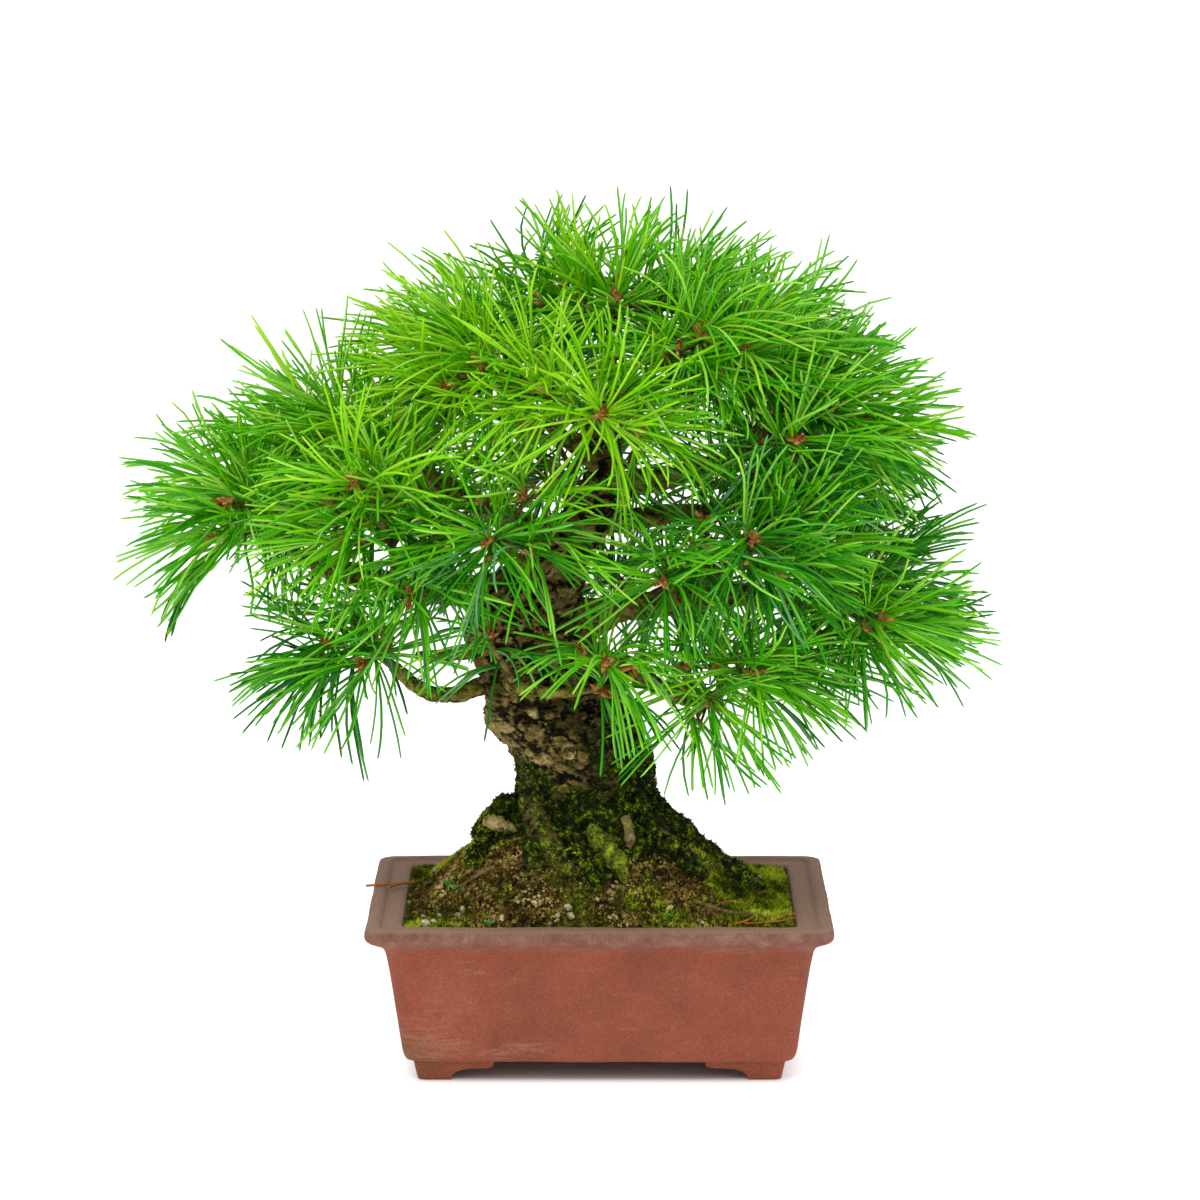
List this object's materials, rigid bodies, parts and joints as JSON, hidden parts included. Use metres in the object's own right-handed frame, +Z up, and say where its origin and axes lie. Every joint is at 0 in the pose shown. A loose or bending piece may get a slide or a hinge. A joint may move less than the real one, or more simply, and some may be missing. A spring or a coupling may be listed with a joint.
{
  "type": "potted bonsai pine tree",
  "caption": "Small white pine trained as a bonsai, with a thick leaning trunk, tapering boughs and full masses of long needles, in a rectangular clay pot on corner feet.",
  "frame": {"origin": "on the surface the pot stands on, under the middle of the whole object as seen from above", "axes": "+X along the length of the pot, to the right as seen from the tree's front; +Y towards the tree's back; +Z up"},
  "size_m": [0.3876, 0.2642, 0.382],
  "materials": {
    "clay": "unglazed matt red-brown clay",
    "earth": "granular soil grown over with moss",
    "bark": "rough plated bark",
    "needles": "satin green needles"
  },
  "bodies": {
    "root": {"pot": "clay", "foot_front_left": "clay", "foot_back_left": "clay", "foot_front_right": "clay", "foot_back_right": "clay", "soil": "earth", "trunk": "bark", "bough_low_left": "bark", "bough_low_left_loop": "bark", "bough_left": "bark", "bough_left_front": "bark", "bough_left_back": "bark", "bough_left_upper": "bark", "bough_upper_left_front": "bark", "bough_upper_left_back": "bark", "bough_right_upper": "bark", "bough_right_top_front": "bark", "bough_right_top_back": "bark", "bough_right": "bark", "bough_right_front": "bark", "bough_right_back": "bark", "bough_low_right": "bark", "bough_front_low": "bark", "bough_front": "bark", "bough_front_high": "bark", "bough_back": "bark", "bough_back_low": "bark", "needles_apex": "needles", "needles_top_left_front": "needles", "needles_top_left_back": "needles", "needles_top_right_front": "needles", "needles_top_right_back": "needles", "needles_left_upper": "needles", "needles_left_far": "needles", "needles_left_mid_front": "needles", "needles_left_mid_back": "needles", "needles_low_left": "needles", "needles_front": "needles", "needles_front_high": "needles", "needles_right_upper": "needles", "needles_right_mid": "needles", "needles_right_far": "needles", "needles_low_right": "needles", "needles_right_back": "needles", "needles_back": "needles", "needles_front_low": "needles", "needles_back_low": "needles"}
  },
  "joints": []
}
